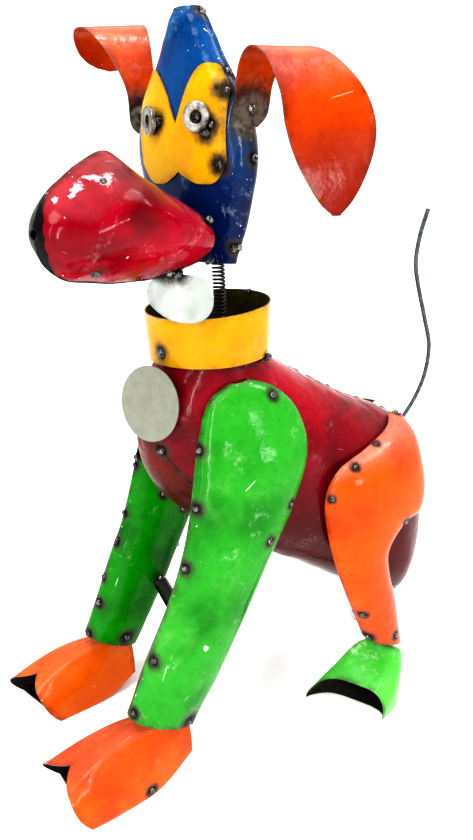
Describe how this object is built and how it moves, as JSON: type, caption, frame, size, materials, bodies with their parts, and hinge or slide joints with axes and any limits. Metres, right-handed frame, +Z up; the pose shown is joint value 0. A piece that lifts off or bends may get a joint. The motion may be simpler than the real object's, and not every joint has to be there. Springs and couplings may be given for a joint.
{
  "type": "metal dog sculpture",
  "caption": "Standing dog sculpture welded from bent pieces of painted scrap sheet steel, with its head on a coil spring.",
  "frame": {"origin": "bottom centre of the bounding box, on the floor", "axes": "the dog looks along -Y, its left side is +X, +Z is up"},
  "size_m": [0.2778, 0.5934, 0.7566],
  "materials": {
    "maroon": "glossy enamel, hammered",
    "belly_red": "worn gloss",
    "yellow": "gloss enamel",
    "green": "scuffed gloss",
    "orange": "gloss enamel",
    "blue": "high gloss enamel",
    "red": "high gloss enamel",
    "black": "satin",
    "white": "satin, dented",
    "steel": "bare, oiled",
    "grey_steel": "dull brushed"
  },
  "bodies": {
    "root": {"torso_left": "maroon", "torso_right": "maroon", "chest_panel": "belly_red", "collar": "yellow", "neck_plate": "belly_red", "tag": "grey_steel", "neck_spring": "steel", "foreleg_left_outer": "green", "foreleg_left_inner": "green", "foreleg_right_outer": "green", "foreleg_right_inner": "green", "forefoot_left": "orange", "forefoot_right": "orange", "leg_brace": "black", "haunch_left": "orange", "hind_leg_left_inner": "orange", "haunch_right": "orange", "hind_leg_right_inner": "orange", "hind_foot_left": "green", "hind_foot_right": "green", "tail": "steel"},
    "head": {"head_front": "blue", "head_back": "blue", "mask": "yellow", "eye_left": "steel", "eye_right": "steel", "muzzle_left": "red", "muzzle_right": "black", "jaw_plate": "white", "ear_left": "orange", "ear_right": "orange"}
  },
  "joints": [
    {"name": "head_nod", "type": "hinge", "parent": "root", "child": "head", "pos_m": [-0.00106, -0.0529, 0.4978], "axis": [0.9063, 0.4226, 0], "range_deg": [-8, 8], "stiffness_Nm_per_rad": 14, "springref_deg": -2.86, "deforming": ["neck_spring"]}
  ]
}
